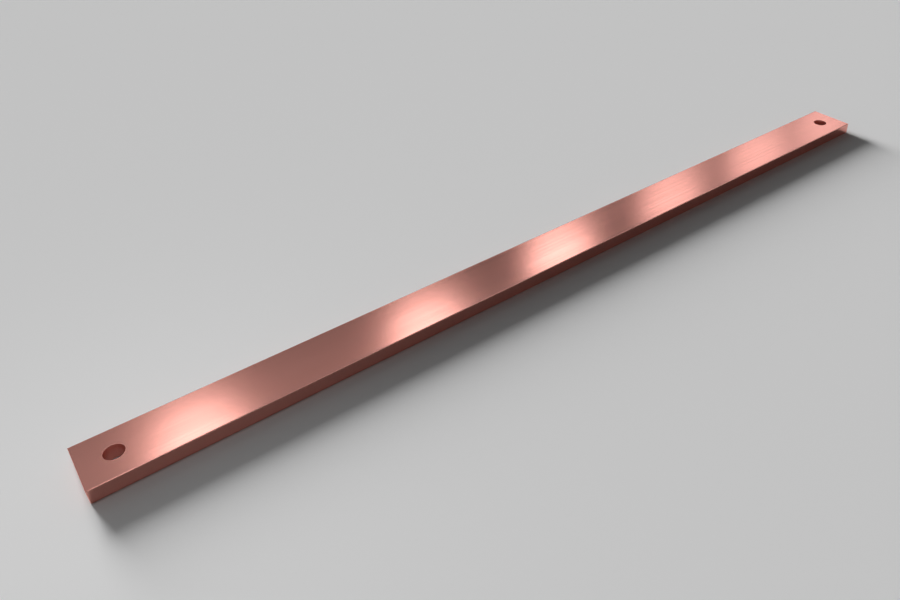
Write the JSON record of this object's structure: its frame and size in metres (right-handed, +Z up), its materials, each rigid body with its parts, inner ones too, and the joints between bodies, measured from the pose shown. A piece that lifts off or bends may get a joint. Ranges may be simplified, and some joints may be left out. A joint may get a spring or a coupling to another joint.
{
  "type": "copper busbar",
  "caption": "Flat copper busbar of rectangular section with rounded long edges, square-cut deburred ends and a round bolt hole on the centre line near each end.",
  "frame": {"origin": "centre of the broad face that the bar lies on, halfway between the two bolt holes", "axes": "+X along the bar, +Y across its width, +Z up through its thickness and along both bolt holes"},
  "size_m": [0.72, 0.04, 0.01],
  "materials": {
    "copper": "satin drawn copper"
  },
  "bodies": {
    "root": {"busbar": "copper"}
  },
  "joints": []
}
